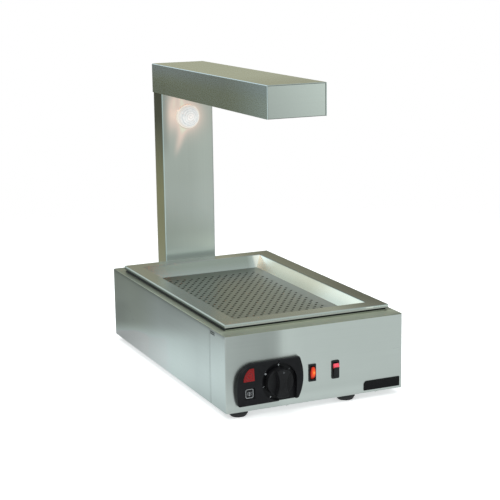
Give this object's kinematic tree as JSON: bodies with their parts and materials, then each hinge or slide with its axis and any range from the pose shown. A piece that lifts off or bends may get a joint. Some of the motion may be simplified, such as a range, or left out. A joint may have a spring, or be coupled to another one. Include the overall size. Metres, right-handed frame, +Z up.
{
  "type": "heat lamp warmer",
  "caption": "Countertop fried food warmer with a perforated drain tray over a heated well, a rear post, a lamp and an overhead heater head.",
  "frame": {"origin": "on the plane the feet stand on, under the middle of the box that holds the whole object", "axes": "+X to the right along the front panel, +Y from the control knob to the rear post, +Z up"},
  "size_m": [0.35, 0.673, 0.571],
  "materials": {
    "stainless_body": "fine satin brushed",
    "stainless_pan": "satin",
    "stainless_tray": "fine satin brushed",
    "stainless_perforated": "perforated, satin",
    "stainless_post": "fine satin brushed",
    "stainless_head": "fine satin brushed",
    "galvanised_sheet": "dull galvanised",
    "zinc_fixings": "zinc plated",
    "element_sheath": "heat-darkened alloy sheath",
    "ceramic": "matt steatite",
    "black_rubber": "moulded",
    "black_silicone": "matt",
    "lamp_ring_chrome": "polished",
    "lamp_glass_lit": "moulded ringed glass, lit",
    "bulb_glass": "clear",
    "polished_reflector": "bright anodised",
    "quartz": "clear quartz",
    "glowing_coil": "hot resistance coil",
    "guard_chrome": "bright plated wire",
    "red_indicator": "translucent red",
    "black_tile": "smooth",
    "black_bezel": "fine-grained moulding",
    "black_bakelite": "moulded",
    "copper": "drawn copper",
    "black_knob": "satin moulding",
    "black_switch": "moulded",
    "lit_rocker": "translucent, lit from inside",
    "red_rocker": "moulded",
    "brass_terminals": "plain",
    "black_plate": "smooth, blank",
    "black_nylon": "moulded",
    "white_nylon": "moulded",
    "harness_sleeve": "glass-fibre sleeve"
  },
  "bodies": {
    "chassis": {"front_panel": "stainless_body", "side_panel_left": "stainless_body", "side_panel_right": "stainless_body", "rear_panel": "stainless_body", "deck_plate": "stainless_body", "bottom_cover": "galvanised_sheet", "cover_screws": "zinc_fixings", "feet": "black_rubber", "foot_screws": "zinc_fixings", "heated_well": "galvanised_sheet", "base_element": "element_sheath", "element_bushes": "ceramic", "element_supports": "galvanised_sheet", "well_rim": "stainless_body", "well_seal": "black_silicone", "post_channel": "stainless_post", "post_rear_cover": "stainless_post", "post_bolts": "zinc_fixings", "wire_grommet": "black_rubber", "lamp_ring": "lamp_ring_chrome", "lamp_glass": "lamp_glass_lit", "lamp_housing": "galvanised_sheet", "lamp_holder": "ceramic", "lamp_bulb": "bulb_glass", "head_cover": "stainless_head", "head_front_cap": "stainless_head", "head_rear_cap": "stainless_head", "head_bracket": "galvanised_sheet", "head_bolts": "zinc_fixings", "reflector": "polished_reflector", "tube_brackets": "galvanised_sheet", "quartz_tubes": "quartz", "heating_coils": "glowing_coil", "tube_end_ceramics": "ceramic", "wire_guard": "guard_chrome", "head_terminal_block": "ceramic", "indicator_lens": "red_indicator", "pilot_lamp": "bulb_glass", "icon_tile": "black_tile", "control_bezel": "black_bezel", "thermostat": "black_bakelite", "thermostat_bulb": "copper", "heater_switch_body": "black_switch", "lamp_switch_body": "black_switch", "spade_terminals": "brass_terminals", "blank_plate": "black_plate", "cable_gland": "black_nylon", "gland_locknut": "black_nylon", "terminal_block": "white_nylon", "earth_stud": "brass_terminals", "base_harness": "harness_sleeve", "post_harness": "harness_sleeve"},
    "knob": {"thermostat_knob": "black_knob", "thermostat_shaft": "zinc_fixings"},
    "heater_rocker_body": {"heater_rocker": "lit_rocker"},
    "lamp_rocker_body": {"lamp_rocker": "red_rocker", "lamp_rocker_face": "black_switch"},
    "pan": {"drip_pan": "stainless_pan"},
    "tray": {"tray_frame": "stainless_tray", "tray_floor": "stainless_perforated"}
  },
  "joints": [
    {"name": "thermostat_turn", "type": "hinge", "parent": "chassis", "child": "knob", "pos_m": [-0.0775, -0.3185, 0.061], "axis": [0, 1, 0], "range_deg": [-2, 268]},
    {"name": "heater_switch_tilt", "type": "hinge", "parent": "chassis", "child": "heater_rocker_body", "pos_m": [-0.0082, -0.3065, 0.0649], "axis": [1, 0, 0], "range_deg": [-16, 0]},
    {"name": "lamp_switch_tilt", "type": "hinge", "parent": "chassis", "child": "lamp_rocker_body", "pos_m": [0.0379, -0.3065, 0.065], "axis": [1, 0, 0], "range_deg": [-16, 0]},
    {"name": "drip_pan_lift", "type": "slide", "parent": "chassis", "child": "pan", "axis": [0, 0, 1], "range_m": [0, 0.1]},
    {"name": "tray_lift", "type": "slide", "parent": "pan", "child": "tray", "axis": [0, 0, 1], "range_m": [0, 0.1]}
  ]
}
